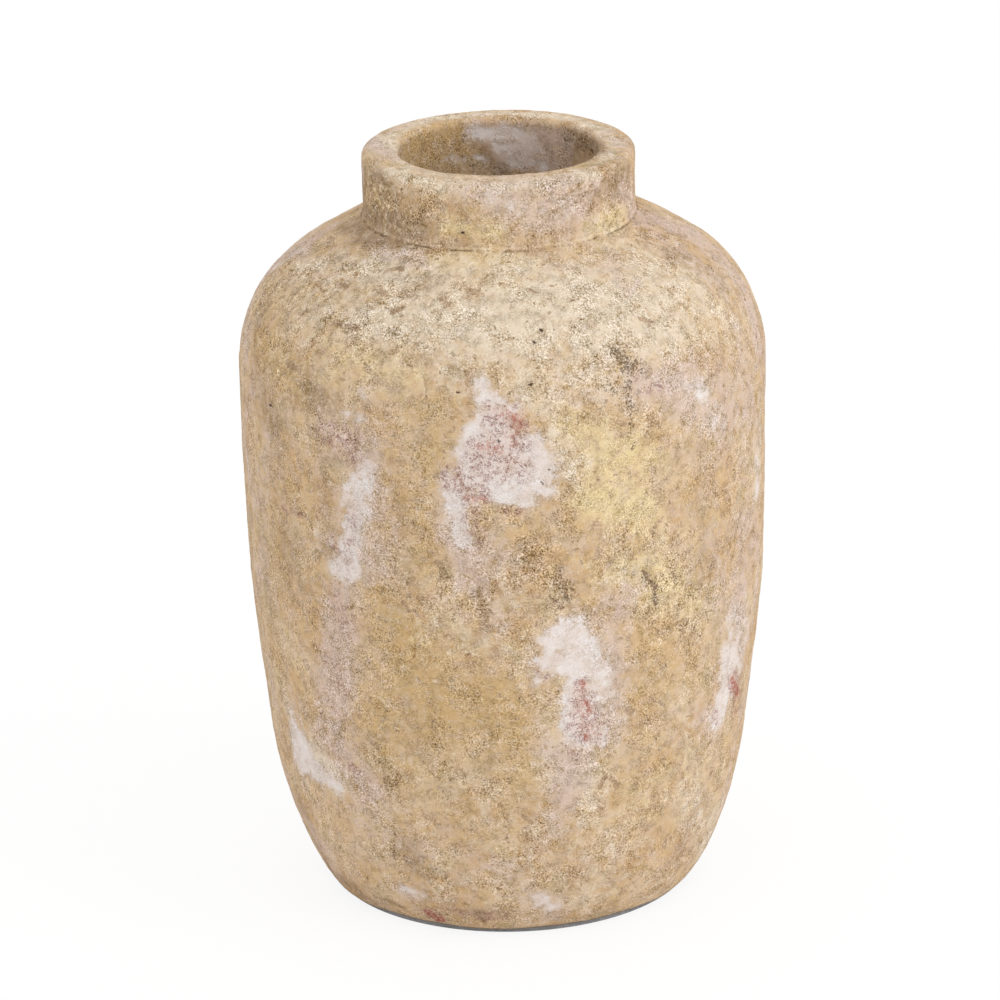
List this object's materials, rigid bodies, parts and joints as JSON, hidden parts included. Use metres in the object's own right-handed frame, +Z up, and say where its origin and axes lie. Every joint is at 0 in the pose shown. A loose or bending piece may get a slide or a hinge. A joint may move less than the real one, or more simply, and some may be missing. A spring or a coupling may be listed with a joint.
{
  "type": "clay vase",
  "caption": "Free-standing clay vase with a broad shouldered body, a thick collar neck and a weathered earth coat; holds dried stems or branches.",
  "frame": {"origin": "on the table, under the middle of the felt pad", "axes": "+Z up along the vase's own axis, out of the mouth; the vase is round, so X and Y are free, and the pictured side faces -Y"},
  "size_m": [0.2749, 0.275, 0.4],
  "materials": {
    "terracotta": "bare fired clay, matte and slightly sandy",
    "dry_slip": "dried and fired clay slip, matte",
    "earth_coat": "sandy tan earth over pale ground, worn to pink clay in patches, dead matte",
    "grey_felt": "pressed wool felt"
  },
  "bodies": {
    "root": {"floor_disc": "terracotta", "floor_slip": "dry_slip", "floor_coil": "terracotta", "foot_wall": "terracotta", "flank_slip": "dry_slip", "flank_wall": "terracotta", "belly_slip": "dry_slip", "belly_wall": "terracotta", "shoulder_slip": "dry_slip", "shoulder_wall": "terracotta", "neck_slip": "dry_slip", "neck_collar": "terracotta", "body_coat": "earth_coat", "neck_coat": "earth_coat", "base_pad": "grey_felt"}
  },
  "joints": []
}
